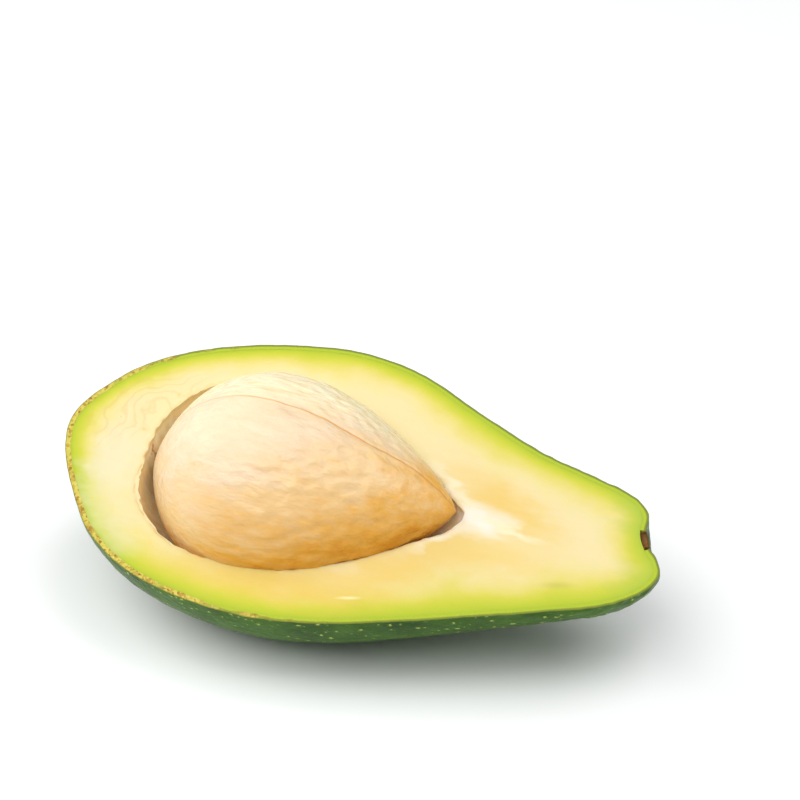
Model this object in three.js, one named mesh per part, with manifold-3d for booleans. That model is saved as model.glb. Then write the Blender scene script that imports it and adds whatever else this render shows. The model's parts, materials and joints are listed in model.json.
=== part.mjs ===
// Half an avocado, cut lengthwise through its stem end, with the seed left in its hollow.
// Millimetres, +Z up. It rests on a small flat on its belly, +X runs to the stem end, and the
// cut face leans towards -Y.
//
// Every piece is drawn with the cut face in the plane z = 0, x along the fruit from the big end
// and y across it. The finished half is then tilted as it rests.

import * as THREE from 'three';
import { mergeVertices } from 'three/addons/utils/BufferGeometryUtils.js';
import Module from 'manifold-3d';

const wasm = await Module();
wasm.setup();

// Driving dimensions: the whole half
const depthRatio = 0.93; // depth of the belly below the cut face, over half of the width there
const skinThickness = 1.1;
const layerGap = 0.3; // between pieces that touch in the fruit
const leanAngle = 19.4; // degrees that the cut face leans towards -Y
const stemDropAngle = 2.4; // degrees that the stem end hangs below the big end
const flatDepth = 1.3; // how far the belly is pressed flat where it rests

// The edge of the cut face, in pairs across the fruit: x and y on the far side, then on the near
// side. The first and last pairs meet, at the big end and at the bottom of the stem pit.
const cutEdge = [
  [0, 1.5, 0, 1.5],
  [0.9, 6, 1.1, -3.6],
  [4.3, 12, 3.4, -8.5],
  [8.6, 17.3, 7.4, -14.5],
  [15.4, 22.4, 13, -21.4],
  [24, 26.6, 22.5, -27.4],
  [36, 30.2, 35, -30.7],
  [50, 32.2, 48, -31.4],
  [63.5, 30.3, 62, -29.3],
  [77.5, 24.2, 77, -24.7],
  [91.5, 18.4, 91, -19.7],
  [102, 15.7, 103, -15.3],
  [109, 13.9, 112.5, -11.3],
  [113, 12.1, 118.2, -6.7],
  [114.9, 9.7, 120, -2.4],
  [115.3, 7.9, 118.9, 0.4],
  [115.3, 6.2, 117.3, 2.1],
  [115.9, 4.3, 115.9, 4.3],
];

// The rim of the seed's hollow, in the same pairs, from its blunt end to its tip
const hollowRim = [
  [17.3, 2, 17.3, 2],
  [17.9, 6.5, 17.7, -3],
  [20, 11.4, 18.2, -9.8],
  [24, 16.2, 23, -15.8],
  [31, 20.3, 30, -20],
  [42, 22, 42, -21.1],
  [54, 19.8, 54, -19.1],
  [65, 13.9, 65, -13.7],
  [74, 7.2, 74, -7.6],
  [79.2, 2.9, 79.9, -3.1],
  [81.5, 0.8, 81.5, 0.8],
];
const hollowDepthRatio = 0.9;

// The seed: a blunt end under the cut face, and a tip just above it
const seedLength = 62.4;
const seedRadius = 21.7;
const seedFlatness = 0.95; // its thickness over its width
const seedFullness = 0.722; // below 1 the widest place lies nearer the blunt end
const seedBluntPower = 0.91;
const seedTipPower = 0.78;
const seedGap = 0.35;
const seedPlace = [18.3, -0.1, -6.5];
const seedPitch = 7.7; // degrees that the tip is raised
const seamAngle = 75; // degrees round the seed, from the far side upwards
const seamDepth = 0.4;
const seamHalfWidth = 3; // degrees

// The corky disc that the stalk leaves in the bottom of the stem pit
const scarRadius = 1.8;
const scarDepth = 0.9;
const scarRise = 0.3;
const scarPlace = [115.9, 4.3, 0];
const scarTurn = 23.7; // degrees that the pit faces the far side
const scarHeadroom = 3; // how far up its hole is cut, to open it to the outside

// Fineness of the faces
const stepsPerPair = 2;
const archSteps = 24;
const seedRings = 30;
const seedSides = 36;
const scarSides = 24;

const radians = THREE.MathUtils.degToRad;

// A closed mesh from rings of points, each as long as the next. The first and last rings close on
// themselves, at a single point or along an upright line.
function meshFromRings(rings) {
  const sides = rings[0].length;
  const places = rings.flat(2);
  const faces = [];
  for (let i = 0; i + 1 < rings.length; i++) {
    for (let j = 0; j < sides; j++) {
      const next = (j + 1) % sides;
      const [a, b] = [i * sides + j, i * sides + next];
      const [c, d] = [a + sides, b + sides];
      faces.push(a, c, b, b, c, d);
    }
  }
  const geometry = new THREE.BufferGeometry();
  geometry.setAttribute('position', new THREE.Float32BufferAttribute(places, 3));
  geometry.setIndex(faces);
  return geometry;
}

// A solid for joining and cutting, from a closed mesh
function solidFrom(geometry) {
  const bare = geometry.clone();
  bare.deleteAttribute('normal');
  bare.deleteAttribute('uv');
  const merged = mergeVertices(bare, 1e-4);
  const index = merged.index.array;
  const kept = [];
  for (let i = 0; i < index.length; i += 3) {
    const [a, b, c] = index.subarray(i, i + 3);
    if (a !== b && b !== c && c !== a) kept.push(a, b, c);
  }
  return new wasm.Manifold(new wasm.Mesh({
    numProp: 3,
    vertProperties: new Float32Array(merged.attributes.position.array),
    triVerts: new Uint32Array(kept),
  }));
}

// A named mesh with a material of its own, from a finished solid
function meshFrom(name, solid, color, roughness) {
  const { vertProperties, triVerts } = solid.getMesh();
  const geometry = new THREE.BufferGeometry();
  geometry.setAttribute('position', new THREE.BufferAttribute(vertProperties, 3));
  geometry.setIndex(new THREE.BufferAttribute(triVerts, 1));
  geometry.computeVertexNormals();
  const material = new THREE.MeshStandardMaterial({ color, roughness, metalness: 0 });
  const mesh = new THREE.Mesh(geometry, material);
  mesh.name = name;
  return mesh;
}

// One smooth closed curve through the pairs: out along the far side and back along the near side
function closedEdge(pairs) {
  const far = pairs.map(([x, y]) => new THREE.Vector3(x, y, 0));
  const near = pairs.slice(1, -1).reverse().map(([, , x, y]) => new THREE.Vector3(x, y, 0));
  return new THREE.CatmullRomCurve3([...far, ...near], true, 'centripetal');
}

// A bowl under a curved edge: each cross-section is half an ellipse hung between the far and the
// near side. inset draws the edge in, as for an inner layer, and rise carries the walls straight
// up past the cut face, as for a tool that cuts through it.
function bowl(pairs, ratio, inset = 0, rise = 0) {
  const edge = closedEdge(pairs);
  const steps = (pairs.length - 1) * stepsPerPair;
  const point = (u) => {
    const tangent = edge.getTangent(u);
    return edge.getPoint(u).add(new THREE.Vector3(tangent.y, -tangent.x, 0).multiplyScalar(inset));
  };
  const rings = [];
  for (let i = 0; i <= steps; i++) {
    const far = point(i / steps / 2);
    const near = point((1 - i / steps / 2) % 1);
    const middle = far.clone().add(near).multiplyScalar(0.5);
    const half = far.clone().sub(near).multiplyScalar(0.5);
    const depth = ratio * half.length();
    const ring = [];
    for (let j = 0; j <= archSteps; j++) {
      const turn = (Math.PI * j) / archSteps;
      const place = middle.clone().addScaledVector(half, Math.cos(turn));
      ring.push([place.x, place.y, -depth * Math.sin(turn)]);
    }
    if (rise > 0) {
      ring.unshift([far.x, far.y, rise]);
      ring.push([near.x, near.y, rise]);
    }
    rings.push(ring);
  }
  return solidFrom(meshFromRings(rings));
}

// The resting half's tilt, and the straight-up direction seen in the frame of the pieces
const tilt = new THREE.Group();
tilt.rotation.y = radians(stemDropAngle);
const lean = new THREE.Group();
lean.rotation.x = radians(leanAngle);
tilt.add(lean);
tilt.updateMatrixWorld(true);
const drawnFrame = lean.matrixWorld.clone().invert();
const up = new THREE.Vector3(0, 0, 1).transformDirection(drawnFrame);

function lowestHeight(solid) {
  const { vertProperties } = solid.getMesh();
  let lowest = Infinity;
  for (let i = 0; i < vertProperties.length; i += 3) {
    const height = new THREE.Vector3().fromArray(vertProperties, i).dot(up);
    lowest = Math.min(lowest, height);
  }
  return lowest;
}

// The flat under the belly, a block whose top lies at the given height of the resting half
const blockSize = 400;
function ground(height) {
  const block = new THREE.BoxGeometry(blockSize, blockSize, blockSize);
  block.translate(0, 0, height - blockSize / 2);
  return solidFrom(block.applyMatrix4(drawnFrame));
}

const wholeHalf = bowl(cutEdge, depthRatio);
const flatHeight = lowestHeight(wholeHalf) + flatDepth;

// The half without the layers outside it: drawn in by inset, and flat that much higher up
function layer(inset, rise) {
  return bowl(cutEdge, depthRatio, inset, rise).subtract(ground(flatHeight + inset));
}

// The seed's radius along its length, from 0 at the blunt end to 1 at the tip
function seedProfile(along) {
  const swept = along ** seedFullness;
  const power = swept < 0.5 ? seedBluntPower : seedTipPower;
  return seedRadius * Math.sin(Math.PI * swept) ** power;
}

// The seed, or with grow the room that it needs. A seam runs right round it, from end to end.
function seedSolid(grow = 0) {
  const turns = [];
  for (let j = 0; j < seedSides; j++) {
    turns.push((360 * j) / seedSides);
  }
  const depthAt = new Map();
  for (const seam of [seamAngle, seamAngle + 180]) {
    for (const [aside, depth] of [[-seamHalfWidth, 0], [0, seamDepth], [seamHalfWidth, 0]]) {
      const turn = seam + aside;
      if (!turns.includes(turn)) turns.push(turn);
      depthAt.set(turn, depth);
    }
  }
  turns.sort((a, b) => b - a);
  const rings = [];
  for (let i = 0; i <= seedRings; i++) {
    const along = (1 - Math.cos((Math.PI * i) / seedRings)) / 2;
    const atEnd = i === 0 || i === seedRings;
    const radius = atEnd ? 0 : seedProfile(along) + grow;
    const x = along * seedLength + (2 * along - 1) * grow;
    rings.push(turns.map((turn) => {
      const groove = grow > 0 ? 0 : (depthAt.get(turn) ?? 0) * (radius / seedRadius);
      const reach = Math.max(radius - groove, 0);
      const angle = radians(turn);
      return [x, reach * Math.cos(angle), reach * seedFlatness * Math.sin(angle)];
    }));
  }
  const geometry = meshFromRings(rings);
  geometry.rotateY(-radians(seedPitch));
  geometry.translate(...seedPlace);
  return solidFrom(geometry);
}

// The stalk's disc, a thin domed plug in the stem pit, or with grow the hole that it needs
function scarSolid(grow = 0) {
  const radius = scarRadius + grow;
  const lift = grow > 0 ? scarHeadroom : 0;
  const profile = [
    new THREE.Vector2(0, -scarDepth - grow),
    new THREE.Vector2(radius * 0.8, -scarDepth - grow),
    new THREE.Vector2(radius, -scarDepth * 0.6),
    new THREE.Vector2(radius, lift),
    new THREE.Vector2(radius * 0.7, scarRise * 0.8 + lift),
    new THREE.Vector2(0, scarRise + lift),
  ];
  const geometry = new THREE.LatheGeometry(profile, scarSides);
  geometry.rotateZ(radians(scarTurn) - Math.PI / 2);
  geometry.translate(...scarPlace);
  return solidFrom(geometry);
}

// Everything above the cut face
function cutAway(solid) {
  const block = new THREE.BoxGeometry(blockSize, blockSize, blockSize);
  block.translate(0, 0, blockSize / 2);
  return solid.subtract(solidFrom(block));
}

function skin() {
  const inside = layer(skinThickness, 5);
  const solid = layer(0, 0).subtract(inside).subtract(scarSolid(layerGap));
  return meshFrom('skin', solid, 0x4f7a35, 0.45);
}

function flesh() {
  const hollow = bowl(hollowRim, hollowDepthRatio, 0, 5).add(seedSolid(seedGap));
  const solid = layer(skinThickness + layerGap, 0).subtract(hollow).subtract(scarSolid(layerGap));
  return meshFrom('flesh', solid, 0xe3dd94, 0.5);
}

function seed() {
  return meshFrom('seed', seedSolid(), 0xd6a877, 0.4);
}

function stemScar() {
  return meshFrom('stem_scar', cutAway(scarSolid()), 0x6b4a2c, 0.9);
}

const avocado = new THREE.Group();
lean.add(skin(), flesh(), seed(), stemScar());
avocado.add(tilt);

// The origin lies under the middle of the whole half, on the surface that it rests on
avocado.updateMatrixWorld(true);
const box = new THREE.Box3().setFromObject(avocado, true);
const middle = box.getCenter(new THREE.Vector3());
tilt.position.set(-middle.x, -middle.y, -flatHeight);
avocado.updateMatrixWorld(true);

export default avocado;
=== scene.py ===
import bisect
import json
import math

import bpy
from mathutils import Matrix, Vector, kdtree, noise

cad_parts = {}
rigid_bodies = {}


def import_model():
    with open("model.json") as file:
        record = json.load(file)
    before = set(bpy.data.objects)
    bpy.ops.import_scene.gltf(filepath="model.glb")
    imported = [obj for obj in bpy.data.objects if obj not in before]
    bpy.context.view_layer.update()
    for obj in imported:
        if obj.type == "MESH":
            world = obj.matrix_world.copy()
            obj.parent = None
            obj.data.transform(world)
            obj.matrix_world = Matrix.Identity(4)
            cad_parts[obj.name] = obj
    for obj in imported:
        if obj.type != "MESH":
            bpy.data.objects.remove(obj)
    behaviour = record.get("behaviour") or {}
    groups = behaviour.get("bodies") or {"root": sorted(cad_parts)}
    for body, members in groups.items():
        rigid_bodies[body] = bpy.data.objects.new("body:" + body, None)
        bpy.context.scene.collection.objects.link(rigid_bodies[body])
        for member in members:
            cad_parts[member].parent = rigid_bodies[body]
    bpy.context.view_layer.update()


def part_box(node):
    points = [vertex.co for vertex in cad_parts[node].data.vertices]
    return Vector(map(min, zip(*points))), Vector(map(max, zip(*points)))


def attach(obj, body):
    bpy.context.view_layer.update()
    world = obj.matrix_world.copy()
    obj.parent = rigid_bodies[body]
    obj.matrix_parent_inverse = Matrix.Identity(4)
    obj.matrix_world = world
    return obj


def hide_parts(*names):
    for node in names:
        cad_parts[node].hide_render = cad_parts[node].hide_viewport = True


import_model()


# Skin: the rind of the fruit, about a millimetre thick, cut through with the flesh under it.
# A sheet is bent to the fruit's outline and given the rind's thickness, with a hole for the
# stalk's scar. Its outside is pebbled, and pressed flat where it rests.
MM = 0.001
LEAN = math.radians(19.4)
STEM_DROP = math.radians(2.4)
BELLY_RATIO = 0.93
SKIN_THICKNESS = 1.1
SKIN_STATIONS = 320
SKIN_ARCS = 216
SKIN_INSIDE_SHARE = 0.1
MERGE_DISTANCE = 1e-4
SMOOTH_ANGLE = math.radians(50)
CUT_EDGE = [
    (0, 1.5, 0, 1.5), (0.9, 6, 1.1, -3.6), (4.3, 12, 3.4, -8.5), (8.6, 17.3, 7.4, -14.5),
    (15.4, 22.4, 13, -21.4), (24, 26.6, 22.5, -27.4), (36, 30.2, 35, -30.7),
    (50, 32.2, 48, -31.4), (63.5, 30.3, 62, -29.3), (77.5, 24.2, 77, -24.7),
    (91.5, 18.4, 91, -19.7), (102, 15.7, 103, -15.3), (109, 13.9, 112.5, -11.3),
    (113, 12.1, 118.2, -6.7), (114.9, 9.7, 120, -2.4), (115.3, 7.9, 118.9, 0.4),
    (115.3, 6.2, 117.3, 2.1), (115.9, 4.3, 115.9, 4.3),
]
PIT = Vector((115.9, 4.3, 0))
SCAR_HOLE = 1.95


def linear(hex_colour):
    """An sRGB hex colour as the linear colour that the shader wants."""
    channels = [int(hex_colour[i:i + 2], 16) / 255 for i in (1, 3, 5)]
    return (*[c / 12.92 if c <= 0.04045 else ((c + 0.055) / 1.055) ** 2.4 for c in channels], 1)


def add_node(tree, kind, settings=None, links=None):
    """Adds a node. A setting is a property of it, or an input's value, by name or number."""
    made = tree.nodes.new(kind)
    for name, value in (settings or {}).items():
        if isinstance(name, str) and hasattr(made, name):
            setattr(made, name, value)
        else:
            made.inputs[name].default_value = value
    for name, output in (links or {}).items():
        tree.links.new(output, made.inputs[name])
    return made


def set_ramp(ramp_node, stops):
    """Gives a colour ramp its stops, each a position and a hex colour."""
    elements = ramp_node.color_ramp.elements
    while len(elements) < len(stops):
        elements.new(0.5)
    for element, (position, colour) in zip(elements, stops):
        element.position = position
        element.color = linear(colour)


def smooth_loop(points, steps):
    """A closed centripetal Catmull-Rom curve through the points, with so many steps a gap."""
    loop = []
    count = len(points)
    for i in range(count):
        p0, p1, p2, p3 = (points[(i + k) % count] for k in (-1, 0, 1, 2))
        d0, d1, d2 = ((b - a).length ** 0.5 for a, b in ((p0, p1), (p1, p2), (p2, p3)))
        start = ((p1 - p0) / d0 - (p2 - p0) / (d0 + d1) + (p2 - p1) / d1) * d1
        end = ((p2 - p1) / d1 - (p3 - p1) / (d1 + d2) + (p3 - p2) / d2) * d1
        for k in range(steps):
            t = k / steps
            loop.append(
                (2 * t**3 - 3 * t**2 + 1) * p1 + (t**3 - 2 * t**2 + t) * start
                + (3 * t**2 - 2 * t**3) * p2 + (t**3 - t**2) * end
            )
    return loop


def edge_loop(pairs, inset=0.0, steps=24):
    """The edge that the pairs describe, moved in by inset: out on the far side, back on the near."""
    far = [Vector((x, y, 0)) for x, y, _, _ in pairs]
    near = [Vector((x, y, 0)) for _, _, x, y in pairs[-2:0:-1]]
    loop = smooth_loop(far + near, steps)
    drawn = []
    for i, point in enumerate(loop):
        along = (loop[(i + 1) % len(loop)] - loop[i - 1]).normalized()
        drawn.append(point + inset * Vector((along.y, -along.x, 0)))
    return drawn


def stations(pairs, count):
    """Points of the far and the near side, paired across the fruit and evenly spaced along it."""
    loop = edge_loop(pairs)
    half = len(loop) // 2
    far = loop[:half + 1]
    near = [loop[-i] for i in range(half + 1)]
    travel = [0.0]
    for i in range(half):
        travel.append(travel[-1] + (far[i + 1] - far[i]).length + (near[i + 1] - near[i]).length)
    made, k = [], 0
    for i in range(count + 1):
        goal = travel[-1] * i / count
        while k < half - 1 and travel[k + 1] < goal:
            k += 1
        share = min((goal - travel[k]) / (travel[k + 1] - travel[k]), 1)
        made.append((far[k].lerp(far[k + 1], share), near[k].lerp(near[k + 1], share)))
    return made


def ease(low, high, value):
    """0 at low, 1 at high, with a smooth start and end."""
    t = min(max((value - low) / (high - low), 0), 1)
    return t * t * (3 - 2 * t)


def add_sheet(name, columns, rows):
    """A flat grid to be bent in code, and the column and row that each vertex stands in."""
    bpy.ops.object.select_all(action="DESELECT")
    bpy.ops.mesh.primitive_grid_add(x_subdivisions=columns, y_subdivisions=rows, size=2)
    sheet = bpy.context.object
    sheet.name = sheet.data.name = name
    cells = [
        (round((vertex.co.x + 1) / 2 * columns), round((vertex.co.y + 1) / 2 * rows))
        for vertex in sheet.data.vertices
    ]
    return sheet, cells


def edit_faces(piece, chosen):
    """Opens the piece in edit mode with the chosen faces selected, and nothing else."""
    bpy.ops.object.select_all(action="DESELECT")
    piece.select_set(True)
    bpy.context.view_layer.objects.active = piece
    bpy.ops.object.mode_set(mode="EDIT")
    bpy.ops.mesh.select_mode(type="FACE")
    bpy.ops.mesh.select_all(action="DESELECT")
    bpy.ops.object.mode_set(mode="OBJECT")
    piece.data.polygons.foreach_set("select", [chosen(face) for face in piece.data.polygons])
    bpy.ops.object.mode_set(mode="EDIT")


def merge_sheet(sheet):
    """Joins the sheet where its edges meet, at its seam and its poles."""
    edit_faces(sheet, lambda face: True)
    bpy.ops.mesh.remove_doubles(threshold=MERGE_DISTANCE)
    bpy.ops.object.mode_set(mode="OBJECT")


skin, cells = add_sheet("skin_rind", SKIN_STATIONS, SKIN_ARCS)
sides = stations(CUT_EDGE, SKIN_STATIONS)
for vertex, (station, arc) in zip(skin.data.vertices, cells):
    far, near = sides[station]
    turn = math.pi * arc / SKIN_ARCS
    across = (far - near) / 2
    vertex.co = (far + near) / 2 + across * math.cos(turn)
    vertex.co.z = -BELLY_RATIO * across.length * math.sin(turn)
merge_sheet(skin)

# The half's resting place, from the solid of the skin: the same ends, near edge and top
TILT = Matrix.Rotation(STEM_DROP, 4, "Y") @ Matrix.Rotation(LEAN, 4, "X")
low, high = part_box("skin")
tilted = [TILT @ vertex.co * MM for vertex in skin.data.vertices]
lowest, highest = ([pick(co[axis] for co in tilted) for axis in range(3)] for pick in (min, max))
RESTING_PLACE = Vector((
    (low.x + high.x - lowest[0] - highest[0]) / 2,
    (low.y + high.y - lowest[1] - highest[1]) / 2,
    high.z - highest[2],
))
LAID_DOWN = Matrix.Translation(RESTING_PLACE) @ TILT @ Matrix.Scale(MM, 4)

# The hole for the scar, cut before the rind gets its thickness
edit_faces(skin, lambda face: (face.center - PIT).length < SCAR_HOLE)
bpy.ops.mesh.delete(type="FACE")
bpy.ops.object.mode_set(mode="OBJECT")
outside = len(skin.data.vertices)

skin.data.materials.append(None)
skin.data.materials.append(None)
thicken = skin.modifiers.new("thickness", "SOLIDIFY")
thicken.thickness = SKIN_THICKNESS
thicken.offset = -1
thicken.use_even_offset = True
thicken.material_offset_rim = 1
bpy.ops.object.modifier_apply(modifier=thicken.name)


def pebbles(place):
    """How far the rind stands out: soft lumps 4 mm and 2 mm apart, rougher towards the stem."""
    rough = 0.10 + 0.12 * ease(70, 112, place.x)
    coarse = noise.noise(place / 3.6)
    fine = noise.noise(place / 1.7 + Vector((31, 7, 5)))
    return rough * (0.9 * coarse + 0.75 * fine)


rind = skin.data.vertices[:outside]
for vertex, normal in zip(rind, [vertex.normal.copy() for vertex in rind]):
    at_cut = ease(0, 2.5, -vertex.co.z)
    flat_normal = Vector((normal.x, normal.y, normal.z * at_cut)).normalized()
    vertex.co += flat_normal * pebbles(vertex.co)

# How deep in the rind a point is, from 0 outside to 1 against the flesh
depths = [0.0] * outside + [1.0] * (len(skin.data.vertices) - outside)
skin.data.attributes.new("rind_depth", "FLOAT", "POINT").data.foreach_set("value", depths)


def lay_down(piece):
    """Turns a finished piece from the drawing's frame to the way the half rests, at its place."""
    piece.matrix_world = LAID_DOWN
    bpy.ops.object.select_all(action="DESELECT")
    piece.select_set(True)
    bpy.context.view_layer.objects.active = piece
    bpy.ops.object.transform_apply(location=True, rotation=True, scale=True)
    bpy.ops.object.shade_smooth_by_angle(angle=SMOOTH_ANGLE)


lay_down(skin)
for vertex, depth in zip(skin.data.vertices, depths):
    vertex.co.z = max(vertex.co.z, depth * SKIN_THICKNESS * MM)

# The inside lies against the flesh and shows nowhere, so it has fewer faces
edit_faces(skin, lambda face: min(depths[v] for v in face.vertices) == 1)
bpy.ops.mesh.select_less()
bpy.ops.mesh.decimate(ratio=SKIN_INSIDE_SHARE)
bpy.ops.object.mode_set(mode="OBJECT")


def start_material(name):
    """A new material, its node tree and its shader."""
    material = bpy.data.materials.new(name)
    material.use_nodes = True
    return material, material.node_tree, material.node_tree.nodes["Principled BSDF"]


def drawn_place(tree):
    """A point's place in the drawing's frame, in millimetres, with the cut face in z = 0."""
    place = add_node(tree, "ShaderNodeTexCoord").outputs["Object"]
    return add_node(
        tree, "ShaderNodeMapping",
        {"vector_type": "TEXTURE", "Location": RESTING_PLACE, "Rotation": (LEAN, STEM_DROP, 0),
         "Scale": (MM, MM, MM)},
        {"Vector": place},
    ).outputs[0]


def make_rind():
    """Avocado rind, a waxy leathery skin: glossy, green, with pale dots at its pores."""
    material, tree, bsdf = start_material("avocado rind")
    place = drawn_place(tree)
    # Broad patches about 9 mm across, from a deep to a fresh green
    patches = add_node(tree, "ShaderNodeTexNoise", {"Scale": 1 / 9, "Detail": 4}, {"Vector": place})
    green = add_node(tree, "ShaderNodeValToRGB", links={"Fac": patches.outputs["Fac"]})
    set_ramp(green, [(0.3, "#2a4b0a"), (0.7, "#456e12")])
    # Pores 1.6 mm apart, dots up to half a millimetre wide, no two of a size, ragged at the edge
    ragged = add_node(
        tree, "ShaderNodeTexNoise", {"normalize": False, "Scale": 1 / 0.8, "Detail": 2},
        {"Vector": place},
    )
    shifted = add_node(
        tree, "ShaderNodeVectorMath", {"operation": "MULTIPLY_ADD", 1: (0.35, 0.35, 0.35)},
        {0: ragged.outputs["Color"], 2: place},
    )
    pores = add_node(
        tree, "ShaderNodeTexVoronoi", {"Scale": 1 / 1.6}, {"Vector": shifted.outputs[0]}
    )
    pore_size = add_node(tree, "ShaderNodeSeparateColor", links={"Color": pores.outputs["Color"]})
    nearness = add_node(
        tree, "ShaderNodeMath", {"operation": "MULTIPLY_ADD", 1: -0.16},
        {0: pore_size.outputs["Red"], 2: pores.outputs["Distance"]},
    )
    dot = add_node(
        tree, "ShaderNodeMapRange",
        {"interpolation_type": "SMOOTHSTEP", "From Min": 0.0, "From Max": 0.12,
         "To Min": 1, "To Max": 0},
        {"Value": nearness.outputs[0]},
    )
    # Round each dot the green is a little fresher
    halo = add_node(
        tree, "ShaderNodeMapRange",
        {"interpolation_type": "SMOOTHSTEP", "From Min": 0.0, "From Max": 0.4,
         "To Min": 1, "To Max": 0},
        {"Value": nearness.outputs[0]},
    )
    halo_share = add_node(
        tree, "ShaderNodeMath", {"operation": "MULTIPLY", 1: 0.3}, {0: halo.outputs[0]}
    )
    lit = add_node(
        tree, "ShaderNodeMixRGB", {"Color2": linear("#648c30")},
        {"Fac": halo_share.outputs[0], "Color1": green.outputs["Color"]},
    )
    spotted = add_node(
        tree, "ShaderNodeMixRGB", {"Color2": linear("#bcc860")},
        {"Fac": dot.outputs[0], "Color1": lit.outputs[0]},
    )
    tree.links.new(spotted.outputs[0], bsdf.inputs["Base Color"])
    # Relief: the pores stand proud, on soft folds and a fine leathery grain
    grain = add_node(tree, "ShaderNodeTexNoise", {"Scale": 1 / 1.3, "Detail": 5}, {"Vector": place})
    height = add_node(
        tree, "ShaderNodeMath", {"operation": "MULTIPLY_ADD", 1: 1.6},
        {0: grain.outputs["Fac"], 2: halo.outputs[0]},
    )
    bump = add_node(
        tree, "ShaderNodeBump", {"Strength": 0.7, "Distance": 0.16 * MM},
        {"Height": height.outputs[0]},
    )
    tree.links.new(bump.outputs[0], bsdf.inputs["Normal"])
    bsdf.inputs["Roughness"].default_value = 0.33
    bsdf.inputs["IOR"].default_value = 1.4
    bsdf.inputs["Specular IOR Level"].default_value = 0.14
    return material


def make_cut_rind():
    """The rind in section: dry tan stone cells where it is thick, a green line where it is thin."""
    material, tree, bsdf = start_material("cut avocado rind")
    place = drawn_place(tree)
    # Stone cells 0.5 mm wide, some of them orange-brown
    stones = add_node(tree, "ShaderNodeTexVoronoi", {"Scale": 1 / 0.5}, {"Vector": place})
    shade = add_node(tree, "ShaderNodeSeparateColor", links={"Color": stones.outputs["Color"]})
    grains = add_node(tree, "ShaderNodeValToRGB", links={"Fac": shade.outputs["Red"]})
    set_ramp(grains, [(0.0, "#d2c65c"), (0.5, "#c2b24a"), (0.8, "#b4933c"), (1.0, "#9a702c")])
    # The rind is corky round the big end and along the near side, and olive elsewhere
    across = add_node(tree, "ShaderNodeSeparateXYZ", links={"Vector": place})
    stemward = add_node(
        tree, "ShaderNodeMath", {"operation": "MULTIPLY_ADD", 1: 0.6},
        {0: across.outputs["Y"], 2: across.outputs["X"]},
    )
    blotches = add_node(
        tree, "ShaderNodeTexNoise", {"normalize": False, "Scale": 1 / 4, "Detail": 3},
        {"Vector": place},
    )
    uneven = add_node(
        tree, "ShaderNodeMath", {"operation": "MULTIPLY_ADD", 1: 22},
        {0: blotches.outputs["Fac"], 2: stemward.outputs[0]},
    )
    corky = add_node(
        tree, "ShaderNodeMapRange",
        {"interpolation_type": "SMOOTHSTEP", "From Min": 12, "From Max": 44,
         "To Min": 1, "To Max": 0},
        {"Value": uneven.outputs[0]},
    )
    section = add_node(
        tree, "ShaderNodeMixRGB", {"Color1": linear("#7f8a2e")},
        {"Fac": corky.outputs[0], "Color2": grains.outputs["Color"]},
    )
    # Where it is thin, the inner part of the section is the flesh's outermost green
    depth = add_node(tree, "ShaderNodeAttribute", {"attribute_name": "rind_depth"})
    thickness = add_node(
        tree, "ShaderNodeMapRange", {"To Min": 0.42, "To Max": 1.1}, {"Value": corky.outputs[0]}
    )
    beyond = add_node(
        tree, "ShaderNodeMath", {"operation": "SUBTRACT"},
        {0: depth.outputs["Fac"], 1: thickness.outputs[0]},
    )
    inner = add_node(
        tree, "ShaderNodeMapRange",
        {"interpolation_type": "SMOOTHSTEP", "From Min": -0.1, "From Max": 0.1},
        {"Value": beyond.outputs[0]},
    )
    lined = add_node(
        tree, "ShaderNodeMixRGB", {"Color2": linear("#a9bb30")},
        {"Fac": inner.outputs[0], "Color1": section.outputs[0]},
    )
    # The outermost quarter of a millimetre keeps the dark green of the rind's outside
    outer = add_node(
        tree, "ShaderNodeMapRange",
        {"interpolation_type": "SMOOTHSTEP", "From Min": 0.05, "From Max": 0.25,
         "To Min": 0.7, "To Max": 0},
        {"Value": depth.outputs["Fac"]},
    )
    edged = add_node(
        tree, "ShaderNodeMixRGB", {"Color2": linear("#5c6a22")},
        {"Fac": outer.outputs[0], "Color1": lined.outputs[0]},
    )
    tree.links.new(edged.outputs[0], bsdf.inputs["Base Color"])
    # Relief: every stone cell is a dry grain of its own
    bump = add_node(
        tree, "ShaderNodeBump", {"Strength": 0.6, "Distance": 0.15 * MM},
        {"Height": stones.outputs["Distance"]},
    )
    tree.links.new(bump.outputs[0], bsdf.inputs["Normal"])
    bsdf.inputs["Roughness"].default_value = 0.6
    bsdf.inputs["Specular IOR Level"].default_value = 0.2
    return material


skin.data.materials[0] = make_rind()
skin.data.materials[1] = make_cut_rind()
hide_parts("skin")
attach(skin, "root")


# Seed: the loose stone of the fruit, a fleshy ball drawn out to a tip under a thin papery coat.
# It lies in its hollow with its blunt end a little sunk. A seam runs round it from end to end,
# and its coat is finely wrinkled on the side towards the stem.
SEED_LENGTH = 62.4
SEED_RADIUS = 21.7
SEED_FLATNESS = 0.95
SEED_FULLNESS = 0.722
SEED_BLUNT_POWER = 0.91
SEED_TIP_POWER = 0.78
SEED_PLACE = Vector((18.3, -0.1, -6.5))
SEED_PITCH = math.radians(7.7)
SEED_STATIONS = 270
SEED_SIDES = 340
SEAM_TURN = math.radians(75)
SEAM_DRIFT = math.radians(14)
SEAM_WAVER = 0.012
to_seed = Matrix.Translation(SEED_PLACE) @ Matrix.Rotation(-SEED_PITCH, 4, "Y")


def seed_radius(along):
    """The seed's radius at a share of its length, from the blunt end to the tip."""
    swept = min(max(along, 0), 1) ** SEED_FULLNESS
    power = SEED_BLUNT_POWER if swept < 0.5 else SEED_TIP_POWER
    return SEED_RADIUS * abs(math.sin(math.pi * swept)) ** power


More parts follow.
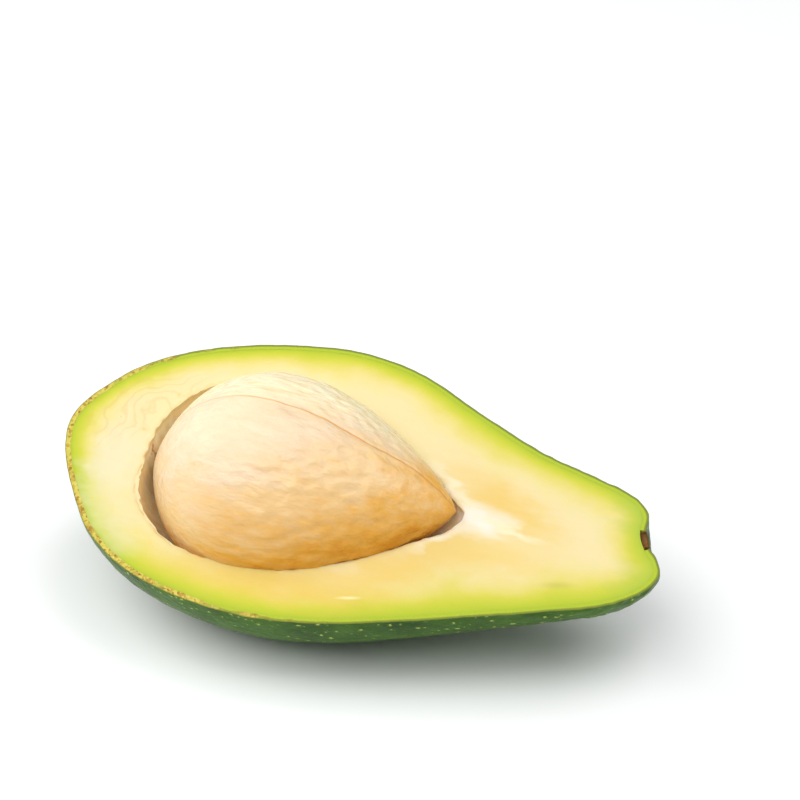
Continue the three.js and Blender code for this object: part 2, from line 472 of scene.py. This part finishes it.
def seam_bend(along):
    """The seam's turn round the seed: nearly straight, and drifting to the far side at the tip."""
    return SEAM_TURN - SEAM_DRIFT * ease(0.72, 1, along) + SEAM_WAVER * math.sin(9 * along)


seed, cells = add_sheet("seed_stone", SEED_STATIONS, SEED_SIDES)
seam_offsets = []
for vertex, (station, side) in zip(seed.data.vertices, cells):
    along = (1 - math.cos(math.pi * station / SEED_STATIONS)) / 2
    turn = -2 * math.pi * side / SEED_SIDES
    radius = seed_radius(along)
    aside = (turn - seam_bend(along) + math.pi / 2) % math.pi - math.pi / 2
    offset = aside * radius
    seam_offsets.append(offset)
    place = Vector((along * SEED_LENGTH, radius * math.cos(turn), radius * math.sin(turn)))
    wrinkled = ease(16, 34, place.x) * (1 - 0.4 * ease(52, 62, place.x))
    swell = 0.25 * noise.noise(place / 9) + 0.12 * noise.noise(place / 4.2)
    folds = 0.34 * noise.noise(Vector((place.x / 3.6, place.y / 1.7, place.z / 1.7)))
    groove = 0.16 * math.exp(-(offset / 0.3) ** 2) * ease(0, 3, radius)
    step = 0.12 * ease(0, 3.5, abs(offset)) * ease(0, 6, radius)
    radius += (swell + wrinkled * folds) * ease(0, 6, radius) - groove + step
    vertex.co = to_seed @ Vector(
        (place.x, radius * math.cos(turn), radius * SEED_FLATNESS * math.sin(turn))
    )
attribute = seed.data.attributes.new("seam_offset", "FLOAT", "POINT")
attribute.data.foreach_set("value", seam_offsets)
merge_sheet(seed)


def make_seed_coat():
    """The seed's coat: a thin satin skin, cream at the blunt end and tan towards the tip."""
    material, tree, bsdf = start_material("avocado seed coat")
    place = drawn_place(tree)
    # From cream at the blunt end to tan at the tip: the coat's own tone
    parts = add_node(tree, "ShaderNodeSeparateXYZ", links={"Vector": place})
    # and from cream on top to orange low on the near side: painted light and shade, the shade warm
    # as if lit from the flesh
    tan_and_shade = add_node(
        tree, "ShaderNodeVectorMath", {"operation": "DOT_PRODUCT", 1: (1, -1.33, -1.85)}, {0: place}
    )
    # Clouds drawn out along the seed, 14 mm long and 4 mm wide
    stretched = add_node(
        tree, "ShaderNodeMapping", {"Scale": (1 / 14, 1 / 4, 1 / 4)}, {"Vector": place}
    )
    clouds = add_node(
        tree, "ShaderNodeTexNoise",
        {"normalize": False, "Scale": 1, "Detail": 5, "Roughness": 0.65},
        {"Vector": stretched.outputs[0]},
    )
    stirred = add_node(
        tree, "ShaderNodeMath", {"operation": "MULTIPLY_ADD", 1: 13},
        {0: clouds.outputs["Fac"], 2: tan_and_shade.outputs["Value"]},
    )
    share = add_node(
        tree, "ShaderNodeMapRange", {"From Min": -5, "From Max": 87}, {"Value": stirred.outputs[0]}
    )
    coat = add_node(tree, "ShaderNodeValToRGB", links={"Fac": share.outputs[0]})
    set_ramp(coat, [
        (0.0, "#ead9b8"), (0.25, "#e8ceab"), (0.38, "#e8c89c"), (0.5, "#ebc892"),
        (0.64, "#ebc07f"), (0.77, "#eab35c"), (0.88, "#e6a73c"), (1.0, "#db9322"),
    ])
    # Papery streaks along the far side, 0.8 mm wide, the coat dried pale between them
    fibres = add_node(
        tree, "ShaderNodeMapping", {"Scale": (1 / 9, 1 / 0.8, 1 / 0.8)}, {"Vector": place}
    )
    streaks = add_node(
        tree, "ShaderNodeTexNoise", {"Scale": 1, "Detail": 3}, {"Vector": fibres.outputs[0]}
    )
    paper = add_node(tree, "ShaderNodeValToRGB", links={"Fac": streaks.outputs["Fac"]})
    set_ramp(paper, [(0.35, "#fff2cf"), (0.55, "#fdeac0"), (0.75, "#f0cb92")])
    far_side = add_node(
        tree, "ShaderNodeMapRange",
        {"interpolation_type": "SMOOTHSTEP", "From Min": 3, "From Max": 11, "To Max": 0.85},
        {"Value": parts.outputs["Y"]},
    )
    papery = add_node(
        tree, "ShaderNodeMixRGB", links={
            "Fac": far_side.outputs[0], "Color1": coat.outputs["Color"],
            "Color2": paper.outputs["Color"],
        },
    )
    # The seam, half a millimetre wide and orange-brown, faint at the blunt end
    offset = add_node(tree, "ShaderNodeAttribute", {"attribute_name": "seam_offset"})
    aside = add_node(tree, "ShaderNodeMath", {"operation": "ABSOLUTE"}, {0: offset.outputs["Fac"]})
    seam = add_node(
        tree, "ShaderNodeMapRange",
        {"interpolation_type": "SMOOTHSTEP", "From Min": 0.05, "From Max": 0.3,
         "To Min": 1, "To Max": 0},
        {"Value": aside.outputs[0]},
    )
    strength = add_node(
        tree, "ShaderNodeMapRange", {"From Min": 26, "From Max": 52, "To Min": 0.3, "To Max": 0.9},
        {"Value": parts.outputs["X"]},
    )
    drawn = add_node(
        tree, "ShaderNodeMath", {"operation": "MULTIPLY"},
        {0: seam.outputs[0], 1: strength.outputs[0]},
    )
    seamed = add_node(
        tree, "ShaderNodeMixRGB", {"Color2": linear("#dca058")},
        {"Fac": drawn.outputs[0], "Color1": papery.outputs[0]},
    )
    tree.links.new(seamed.outputs[0], bsdf.inputs["Base Color"])
    # Fine creases in the coat, 1.2 mm apart, and a grain too small to feel
    creases = add_node(
        tree, "ShaderNodeMapping", {"Scale": (1 / 2.4, 1 / 1.2, 1 / 1.2)}, {"Vector": place}
    )
    grain = add_node(
        tree, "ShaderNodeTexNoise", {"Scale": 1, "Detail": 5}, {"Vector": creases.outputs[0]}
    )
    bump = add_node(
        tree, "ShaderNodeBump", {"Strength": 0.8, "Distance": 0.4 * MM},
        {"Height": grain.outputs["Fac"]},
    )
    tree.links.new(bump.outputs[0], bsdf.inputs["Normal"])
    bsdf.inputs["Roughness"].default_value = 0.27
    bsdf.inputs["IOR"].default_value = 1.4
    bsdf.inputs["Subsurface Weight"].default_value = 0.25
    bsdf.inputs["Subsurface Radius"].default_value = (1.0, 0.6, 0.35)
    bsdf.inputs["Subsurface Scale"].default_value = 2 * MM
    return material


seed.data.materials.append(make_seed_coat())
lay_down(seed)
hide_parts("seed")
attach(seed, "root")


# Flesh: the soft oily body of the fruit, cut flat with a knife and still moist, with the hollow
# that the seed left in it. A sheet is wrapped round it: up the belly against the skin, over the
# cut face from the skin to the hollow, and down the hollow's wall to its floor.
FLESH_STEPS = 600
BELLY_ROWS = 16
FACE_ROWS = 60
HOLLOW_ROWS = 44
EDGE_PLACES = 4 * FLESH_STEPS
HOLLOW_SECTIONS = 160
FLESH_MIDDLE = Vector((46, 0.3, 0))
SKIN_OVERLAP = 0.02
HOLLOW_RATIO = 0.9
SEED_CLEARANCE = 0.12
SEED_RELIEF = 0.3
RIM_LIP = 0.25
RIM_LIP_WIDTH = 1.2
UNDER_EVERY_ZONE = 20
FAR_FROM_RIM = 10
HOLLOW_RIM = [
    (17.3, 2, 17.3, 2), (17.9, 6.5, 17.7, -3), (20, 11.4, 18.2, -9.8), (24, 16.2, 23, -15.8),
    (31, 20.3, 30, -20), (42, 22, 42, -21.1), (54, 19.8, 54, -19.1), (65, 13.9, 65, -13.7),
    (74, 7.2, 74, -7.6), (79.2, 2.9, 79.9, -3.1), (81.5, 0.8, 81.5, 0.8),
]


def even_loop(loop, count):
    """The same closed loop in equal steps."""
    travel = [0.0]
    for i, point in enumerate(loop):
        travel.append(travel[-1] + (loop[(i + 1) % len(loop)] - point).length)
    made, k = [], 0
    for i in range(count):
        goal = travel[-1] * i / count
        while travel[k + 1] < goal:
            k += 1
        share = (goal - travel[k]) / (travel[k + 1] - travel[k])
        made.append(loop[k].lerp(loop[(k + 1) % len(loop)], share))
    return made


def reach(loop, direction):
    """Where a ray from the middle of the flesh meets the loop."""
    for i, point in enumerate(loop):
        a, b = point - FLESH_MIDDLE, loop[(i + 1) % len(loop)] - FLESH_MIDDLE
        side_a = direction.x * a.y - direction.y * a.x
        side_b = direction.x * b.y - direction.y * b.x
        if side_a * side_b <= 0 and side_a != side_b:
            met = a.lerp(b, side_a / (side_a - side_b))
            if met.dot(direction) > 0:
                return FLESH_MIDDLE + met


def ragged(place):
    """How far the hollow's rim is torn in or out where the seed coat pulled away from it."""
    return 0.28 * noise.noise(place / 1.6) + 0.35 * noise.noise(place / 4.5)


def bowl_depth(place):
    """How deep the hollow is under a place of the cut face: half an ellipse across the fruit."""
    k = min(max(bisect.bisect(hollow_stations, place.x), 1), len(hollow_stations) - 1)
    share = (place.x - hollow_stations[k - 1]) / (hollow_stations[k] - hollow_stations[k - 1])
    share = min(max(share, 0), 1)
    far, near = (a.lerp(b, share) for a, b in zip(hollow_sides[k - 1], hollow_sides[k]))
    across = (far - near) / 2
    aside = (place - (far + near) / 2).dot(across) / max(across.length_squared, 1e-6)
    return HOLLOW_RATIO * across.length * math.sqrt(max(1 - aside * aside, 0))


def clear_of_seed(place):
    """The place, moved out from the seed's axis where the seed would stand in it."""
    local = to_seed.inverted() @ place
    across = Vector((0, local.y, local.z / SEED_FLATNESS))
    along = (local.x + SEED_CLEARANCE) / (SEED_LENGTH + 2 * SEED_CLEARANCE)
    if not 0 < along < 1:
        return place
    room = seed_radius(along) + SEED_CLEARANCE + SEED_RELIEF
    if 0 < across.length < room:
        across *= room / across.length
        return to_seed @ Vector((local.x, across.y, across.z * SEED_FLATNESS))
    return place


def face_relief(place):
    """The cut face isn't quite flat: slow waves, finer ones drawn out along the knife's path,
    and a rougher patch where the knife went in at the big end."""
    slow = 0.10 * noise.noise(place / 11)
    drawn = 0.035 * noise.noise(Vector((place.x / 7, place.y / 1.3, 4)))
    rough = 0.16 * noise.noise(place / 2.6) * ease(24, 10, place.x)
    return slow + drawn + rough


def green_width(place):
    """The width of the green zone: narrow at the big end's far side, wide along the near side."""
    nearward = ease(10, -14, place.y)
    return 0.95 + 0.35 * nearward - 0.17 * ease(52, 30, place.x) * (1 - nearward)


def belly_depth(place):
    """How deep the skin's inside lies under a place of the cut face."""
    start = LAID_DOWN @ place
    found, spot, _, _ = skin.ray_cast(start, LAID_DOWN.to_3x3() @ Vector((0, 0, -1)))
    return (LAID_DOWN.inverted() @ spot).z if found else 0


flesh_edge = edge_loop(CUT_EDGE, SKIN_THICKNESS - SKIN_OVERLAP)
outline = even_loop(flesh_edge, FLESH_STEPS)
edge_places = kdtree.KDTree(EDGE_PLACES)
for i, point in enumerate(even_loop(flesh_edge, EDGE_PLACES)):
    edge_places.insert(point, i)
edge_places.balance()
rim_loop = edge_loop(HOLLOW_RIM)
hollow_sides = stations(HOLLOW_RIM, HOLLOW_SECTIONS)
hollow_stations = [(far.x + near.x) / 2 for far, near in hollow_sides]
smooth_rim, rim = [], []
for point in outline:
    direction = (point - FLESH_MIDDLE).normalized()
    met = reach(rim_loop, direction)
    smooth_rim.append(met)
    rim.append(met + direction * ragged(met))
rows = BELLY_ROWS + FACE_ROWS + HOLLOW_ROWS

flesh, cells = add_sheet("flesh_half", FLESH_STEPS, rows)
green_depths, rim_distances = [], []
for vertex, (step, row) in zip(flesh.data.vertices, cells):
    outer, inner = outline[step % FLESH_STEPS], rim[step % FLESH_STEPS]
    if row < BELLY_ROWS:
        turn = math.pi / 2 * row / BELLY_ROWS
        place = FLESH_MIDDLE.lerp(outer, math.sin(turn))
        place.z = belly_depth(place)
        skin_depth, rim_distance = 0, FAR_FROM_RIM
    elif row <= BELLY_ROWS + FACE_ROWS:
        share = (row - BELLY_ROWS) / FACE_ROWS
        place = outer.lerp(inner, ease(0, 1, share) * 0.35 + share * 0.65)
        skin_depth, rim_distance = edge_places.find(place)[2], (place - inner).length
        lip = ease(RIM_LIP_WIDTH, 0, rim_distance)
        relief = face_relief(place) * ease(0, 1.5, skin_depth) * (1 - lip)
        place.z = relief - RIM_LIP * lip**2
    else:
        share = math.cos(math.pi / 2 * (row - BELLY_ROWS - FACE_ROWS) / HOLLOW_ROWS)
        place = FLESH_MIDDLE.lerp(inner, share)
        under = FLESH_MIDDLE.lerp(smooth_rim[step % FLESH_STEPS], share)
        place.z = -RIM_LIP - bowl_depth(under)
        place = clear_of_seed(place)
        skin_depth, rim_distance = UNDER_EVERY_ZONE, -(place - inner).length
    green_depths.append(skin_depth / green_width(place))
    rim_distances.append(rim_distance)
    vertex.co = place
for name, values in (("green_depth", green_depths), ("rim_distance", rim_distances)):
    flesh.data.attributes.new(name, "FLOAT", "POINT").data.foreach_set("value", values)
merge_sheet(flesh)
edit_faces(flesh, lambda face: True)
bpy.ops.mesh.normals_make_consistent(inside=False)
bpy.ops.object.mode_set(mode="OBJECT")


def add_tints(tree, place, colour, tints):
    """Lays soft oval tints over a colour. A tint has its place along and across the fruit, its
    height, its two radii, its turn in degrees, its colour and its strength."""
    for x, y, z, length, width, turn, tint, strength in tints:
        local = add_node(
            tree, "ShaderNodeMapping",
            {"vector_type": "TEXTURE", "Location": (x, y, z),
             "Rotation": (0, 0, math.radians(turn)), "Scale": (length, width, 4)},
            {"Vector": place},
        )
        away = add_node(
            tree, "ShaderNodeVectorMath", {"operation": "LENGTH"}, {0: local.outputs[0]}
        )
        share = add_node(
            tree, "ShaderNodeMapRange",
            {"interpolation_type": "SMOOTHSTEP", "From Min": 0.05, "From Max": 1.1,
             "To Min": strength, "To Max": 0},
            {"Value": away.outputs["Value"]},
        )
        colour = add_node(
            tree, "ShaderNodeMixRGB", {"Color2": linear(tint)},
            {"Fac": share.outputs[0], "Color1": colour},
        ).outputs[0]
    return colour


def make_flesh():
    """Ripe avocado flesh, cut with a knife: moist and buttery, green at the skin, cream inside."""
    material, tree, bsdf = start_material("cut avocado flesh")
    place = drawn_place(tree)
    # The zones by their depth under the skin, over 14 mm, with borders that wander
    clouds = add_node(
        tree, "ShaderNodeTexNoise", {"normalize": False, "Scale": 1 / 11, "Detail": 4},
        {"Vector": place},
    )
    depth = add_node(tree, "ShaderNodeAttribute", {"attribute_name": "green_depth"})
    wander = add_node(
        tree, "ShaderNodeMath", {"operation": "MULTIPLY_ADD", 1: 0.35, 2: 1},
        {0: clouds.outputs["Fac"]},
    )
    wandering = add_node(
        tree, "ShaderNodeMath", {"operation": "MULTIPLY"},
        {0: wander.outputs[0], 1: depth.outputs["Fac"]},
    )
    share = add_node(
        tree, "ShaderNodeMapRange", {"From Min": 0, "From Max": 14}, {"Value": wandering.outputs[0]}
    )
    zones = add_node(tree, "ShaderNodeValToRGB", links={"Fac": share.outputs[0]})
    set_ramp(zones, [
        (0.0, "#aabb30"), (0.03, "#b3c034"), (0.09, "#bfc53c"), (0.15, "#cbc84a"),
        (0.22, "#d6cc66"), (0.3, "#ddcf7e"), (0.43, "#e1d396"), (0.6, "#e4d4a2"),
    ])
    # Every tint has an uneven border, drawn out a little along the fruit's fibres
    fibres = add_node(
        tree, "ShaderNodeMapping", {"Scale": (1 / 7, 1 / 3, 1 / 3)}, {"Vector": place}
    )
    stir = add_node(
        tree, "ShaderNodeTexNoise", {"normalize": False, "Scale": 1, "Detail": 3},
        {"Vector": fibres.outputs[0]},
    )
    stirred = add_node(
        tree, "ShaderNodeVectorMath", {"operation": "MULTIPLY_ADD", 1: (3, 1.5, 0.6)},
        {0: stir.outputs["Color"], 2: place},
    ).outputs[0]
    tinted = add_tints(tree, stirred, zones.outputs["Color"], [
        (50, -22.5, 0, 26, 7, 2, "#dcbc58", 0.75),  # the warm band under the seed
        (73, -13.5, 0, 20, 7, 32, "#e2c25c", 0.7),  # and on past its tip
        (88, -6.5, 0, 17, 6, 4, "#e4c466", 0.6),
        (88.5, 5, 0, 18, 6, -24, "#e2bd58", 0.7),  # the orange wedge towards the stem
        (12, -6, 0, 8, 14, 0, "#ddd6b4", 0.8),  # the big end's pale mottle
        (18, -19, 0, 10, 6, -40, "#dcd5b0", 0.6),
        (115, 9, 0, 9, 9, -30, "#9fba50", 0.45),  # greener at the stem end
        (118, -5, 0, 8, 8, 40, "#a2ba50", 0.4),
        (84, 0.4, 0, 9, 5, 0, "#efe6d8", 1.0),  # the white pith ahead of the seed's tip
        (78, -5, 0, 9, 2.6, 42, "#ece0c4", 1.0),
        (77.6, 6, 0, 9, 2.2, -38, "#ece0c0", 1.0),
        (91, -0.1, 0, 9, 1.2, -8, "#ece0ba", 1.0),  # and its fibres
    ])
    # A painted sheen, a short pale streak of light on the moist face, and a small bruise
    sheen_and_bruise = add_tints(tree, place, tinted, [
        (66, -22.5, 0, 3, 0.5, 15, "#ebe6b4", 0.7),
        (102.3, -9.7, 0, 4, 1, 15, "#b5ab5c", 0.4),
    ])
    # Thin wavy lines in the flesh round the big end, 3 mm apart, as it grew
    swirl = add_node(
        tree, "ShaderNodeTexNoise", {"normalize": False, "Scale": 1 / 14, "Detail": 2},
        {"Vector": place},
    )
    layers = add_node(
        tree, "ShaderNodeMath", {"operation": "MULTIPLY_ADD", 1: 0.5},
        {0: swirl.outputs["Fac"], 2: share.outputs[0]},
    )
    lines = add_node(
        tree, "ShaderNodeMath", {"operation": "PINGPONG", 1: 0.11}, {0: layers.outputs[0]}
    )
    thin = add_node(
        tree, "ShaderNodeMapRange",
        {"interpolation_type": "SMOOTHSTEP", "From Min": 0.0, "From Max": 0.05,
         "To Min": 0.22, "To Max": 0},
        {"Value": lines.outputs[0]},
    )
    big_end = add_node(
        tree, "ShaderNodeMapping",
        {"vector_type": "TEXTURE", "Location": (12, 9, 0), "Rotation": (0, 0, 0.6),
         "Scale": (20, 11, 4)},
        {"Vector": stirred},
    )
    away = add_node(tree, "ShaderNodeVectorMath", {"operation": "LENGTH"}, {0: big_end.outputs[0]})
    there = add_node(
        tree, "ShaderNodeMapRange",
        {"interpolation_type": "SMOOTHSTEP", "From Min": 0.3, "From Max": 1,
         "To Min": 1, "To Max": 0},
        {"Value": away.outputs["Value"]},
    )
    line_share = add_node(
        tree, "ShaderNodeMath", {"operation": "MULTIPLY"}, {0: thin.outputs[0], 1: there.outputs[0]}
    )
    lined = add_node(
        tree, "ShaderNodeMixRGB", {"Color2": linear("#c9a95c")},
        {"Fac": line_share.outputs[0], "Color1": sheen_and_bruise},
    )
    # Tan specks half a millimetre wide there, 4.5 mm apart, where fibres were cut across
    specks = add_node(tree, "ShaderNodeTexVoronoi", {"Scale": 1 / 4.5}, {"Vector": stirred})
    speck = add_node(
        tree, "ShaderNodeMapRange",
        {"interpolation_type": "SMOOTHSTEP", "From Min": 0.04, "From Max": 0.11,
         "To Min": 0.7, "To Max": 0},
        {"Value": specks.outputs["Distance"]},
    )
    speck_share = add_node(
        tree, "ShaderNodeMath", {"operation": "MULTIPLY"},
        {0: speck.outputs[0], 1: there.outputs[0]},
    )
    specked = add_node(
        tree, "ShaderNodeMixRGB", {"Color2": linear("#e2b45c")},
        {"Fac": speck_share.outputs[0], "Color1": lined.outputs[0]},
    )
    # The hollow's wall: warm cream, paler than the cut face, partly the flesh's own tone by the seed
    # and partly painted light
    wall_mottle = add_node(
        tree, "ShaderNodeTexNoise", {"Scale": 1 / 3, "Detail": 5}, {"Vector": place}
    )
    wall = add_node(tree, "ShaderNodeValToRGB", links={"Fac": wall_mottle.outputs["Fac"]})
    set_ramp(wall, [(0.35, "#fde3ac"), (0.65, "#fff3cf")])
    lit_wall_colour = add_tints(tree, stirred, wall.outputs["Color"], [
        (21, 13, -1, 7, 7, 0, "#fbe0a8", 0.9),
        # painted light: the pale facet of the wall at the seed's tip
        (80, 0, -2, 9, 8, 0, "#fff0d0", 1.0),
        # a small brown spot deep at the big end, where the seed's blunt end lies closest
        (17.6, 0.5, -3, 1.2, 1.4, 0, "#b5752e", 0.8),
    ])
    rim_distance = add_node(tree, "ShaderNodeAttribute", {"attribute_name": "rim_distance"})
    in_hollow = add_node(
        tree, "ShaderNodeMapRange",
        {"interpolation_type": "SMOOTHSTEP", "From Min": -2.0, "From Max": -0.4,
         "To Min": 1, "To Max": 0},
        {"Value": rim_distance.outputs["Fac"]},
    )
    walled = add_node(
        tree, "ShaderNodeMixRGB", links={
            "Fac": in_hollow.outputs[0], "Color1": specked.outputs[0], "Color2": lit_wall_colour,
        },
    )
    # The rim, brown in places: painted shade, the dark line of the narrow gap where the seed meets
    # it
    at_rim = add_node(
        tree, "ShaderNodeMath", {"operation": "ABSOLUTE"}, {0: rim_distance.outputs["Fac"]}
    )
    rim_line = add_node(
        tree, "ShaderNodeMapRange",
        {"interpolation_type": "SMOOTHSTEP", "From Min": 0.05, "From Max": 0.4,
         "To Min": 1, "To Max": 0},
        {"Value": at_rim.outputs[0]},
    )
    rim_shade_patches = add_node(
        tree, "ShaderNodeMapRange",
        {"interpolation_type": "SMOOTHSTEP", "From Min": 0.42, "From Max": 0.62, "To Max": 0.6},
        {"Value": wall_mottle.outputs["Fac"]},
    )
    rim_shade_share = add_node(
        tree, "ShaderNodeMath", {"operation": "MULTIPLY"},
        {0: rim_line.outputs[0], 1: rim_shade_patches.outputs[0]},
    )
    rim_shaded = add_node(
        tree, "ShaderNodeMixRGB", {"Color2": linear("#d19a48")},
        {"Fac": rim_shade_share.outputs[0], "Color1": walled.outputs[0]},
    )
    tree.links.new(rim_shaded.outputs[0], bsdf.inputs["Base Color"])
    # The faint grain of the flesh, 2 mm across, under a moist sheen
    grain = add_node(tree, "ShaderNodeTexNoise", {"Scale": 1 / 2.2, "Detail": 5}, {"Vector": place})
    bump = add_node(
        tree, "ShaderNodeBump", {"Strength": 0.3, "Distance": 0.25 * MM},
        {"Height": grain.outputs["Fac"]},
    )
    tree.links.new(bump.outputs[0], bsdf.inputs["Normal"])
    bsdf.inputs["Roughness"].default_value = 0.45
    bsdf.inputs["IOR"].default_value = 1.38
    bsdf.inputs["Specular IOR Level"].default_value = 0.3
    bsdf.inputs["Subsurface Weight"].default_value = 0.4
    bsdf.inputs["Subsurface Radius"].default_value = (1.0, 0.75, 0.35)
    bsdf.inputs["Subsurface Scale"].default_value = 2 * MM
    return material


flesh.data.materials.append(make_flesh())
lay_down(flesh)
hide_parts("flesh")
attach(flesh, "root")


# Stem scar: the dry corky disc where the stalk broke off, cut in half with the fruit.
# It sits in the hole of the rind at the bottom of the stem pit, with its face in the cut.
SCAR_RADIUS = 1.8
SCAR_THICKNESS = 1.2
SCAR_SIDES = 64
SCAR_ROUNDING = 0.3
SCAR_SUNK = 0.3
SCAR_TOP = 0.05
SCAR_TURN = math.radians(23.7)

bpy.ops.object.select_all(action="DESELECT")
bpy.ops.mesh.primitive_cylinder_add(
    vertices=SCAR_SIDES, radius=SCAR_RADIUS, depth=SCAR_THICKNESS,
    location=(-SCAR_SUNK, 0, 0), rotation=(0, math.pi / 2, 0),
)
scar = bpy.context.object
scar.name = scar.data.name = "stem_scar_disc"
bpy.ops.object.transform_apply(location=True, rotation=True, scale=False)
bpy.ops.object.mode_set(mode="EDIT")
bpy.ops.mesh.select_all(action="SELECT")
bpy.ops.mesh.bevel(offset=SCAR_ROUNDING, segments=4, affect="EDGES")
bpy.ops.mesh.select_all(action="SELECT")
bpy.ops.mesh.bisect(
    plane_co=(0, 0, SCAR_TOP), plane_no=(0, 0, 1), use_fill=True, clear_outer=True
)
bpy.ops.object.mode_set(mode="OBJECT")
for vertex in scar.data.vertices:
    vertex.co = Matrix.Rotation(SCAR_TURN, 3, "Z") @ vertex.co + PIT


def make_cork():
    """Cork at the stalk's scar: dry, brown and granular."""
    material, tree, bsdf = start_material("stem scar cork")
    place = drawn_place(tree)
    # Crumbs about a millimetre across, in colour and in relief
    crumbs = add_node(
        tree, "ShaderNodeTexNoise", {"Scale": 1 / 1.1, "Detail": 4}, {"Vector": place}
    )
    brown = add_node(tree, "ShaderNodeValToRGB", links={"Fac": crumbs.outputs["Fac"]})
    set_ramp(brown, [(0.3, "#7a5024"), (0.7, "#b4864a")])
    tree.links.new(brown.outputs["Color"], bsdf.inputs["Base Color"])
    bump = add_node(
        tree, "ShaderNodeBump", {"Strength": 0.8, "Distance": 0.2 * MM},
        {"Height": crumbs.outputs["Fac"]},
    )
    tree.links.new(bump.outputs[0], bsdf.inputs["Normal"])
    bsdf.inputs["Roughness"].default_value = 0.85
    return material


scar.data.materials.append(make_cork())
lay_down(scar)
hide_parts("stem_scar")
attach(scar, "root")


# Floor: the white table that the half lies on, seamless out to where nothing shows its end.
# It is only stage: a matt sheet, level with the flat of the belly.
FLOOR_SIZE = 6
bpy.ops.object.select_all(action="DESELECT")
bpy.ops.mesh.primitive_plane_add(size=FLOOR_SIZE, location=(0, 0, 0))
floor = bpy.context.object
floor.name = floor.data.name = "floor"
table_top, _, bsdf = start_material("white table top")
bsdf.inputs["Base Color"].default_value = linear("#f7f8f8")
bsdf.inputs["Roughness"].default_value = 0.7
floor.data.materials.append(table_top)


# Light: a studio's large soft panels, one high in front, a broad low one at the left and one over
# the right, bright enough for the white table to burn out, so that only a close soft shadow shows.
def soft_light(name, place, size, power):
    """A large square panel that faces the fruit."""
    data = bpy.data.lights.new(name, "AREA")
    data.size = size
    data.energy = power
    lamp = bpy.data.objects.new(name, data)
    lamp.location = place
    lamp.rotation_euler = (-Vector(place)).to_track_quat("-Z", "Y").to_euler()
    bpy.context.scene.collection.objects.link(lamp)


soft_light("front_panel", (-0.2, -0.5, 0.95), 0.85, 8.2)
soft_light("left_panel", (-0.95, 0.02, 0.55), 1.0, 6.5)
soft_light("right_panel", (0.4, 0.12, 1.0), 0.8, 5.4)
world = bpy.data.worlds.new("white room")
world.use_nodes = True
world.node_tree.nodes["Background"].inputs["Color"].default_value = (0.97, 0.985, 1, 1)
world.node_tree.nodes["Background"].inputs["Strength"].default_value = 0.2
bpy.context.scene.world = world
bpy.context.scene.view_settings.view_transform = "Standard"


# Camera: a long lens from the front right, 35 degrees above the table, aimed past the half so
# that it stands low in the picture.
CAMERA_AZIMUTH = math.radians(17.8)
CAMERA_ELEVATION = math.radians(35)
CAMERA_VIEW = math.radians(20)
CAMERA_DISTANCE = 0.4724
CAMERA_AIM = Vector((-0.0048, 0.0416, 0.02))
back = Vector((
    math.sin(CAMERA_AZIMUTH) * math.cos(CAMERA_ELEVATION),
    -math.cos(CAMERA_AZIMUTH) * math.cos(CAMERA_ELEVATION),
    math.sin(CAMERA_ELEVATION),
))
camera_data = bpy.data.cameras.new("camera")
camera_data.sensor_width = 36
camera_data.angle = CAMERA_VIEW
camera = bpy.data.objects.new("camera", camera_data)
camera.location = CAMERA_AIM + back * CAMERA_DISTANCE
camera.rotation_euler = back.to_track_quat("Z", "Y").to_euler()
bpy.context.scene.collection.objects.link(camera)
bpy.context.scene.camera = camera
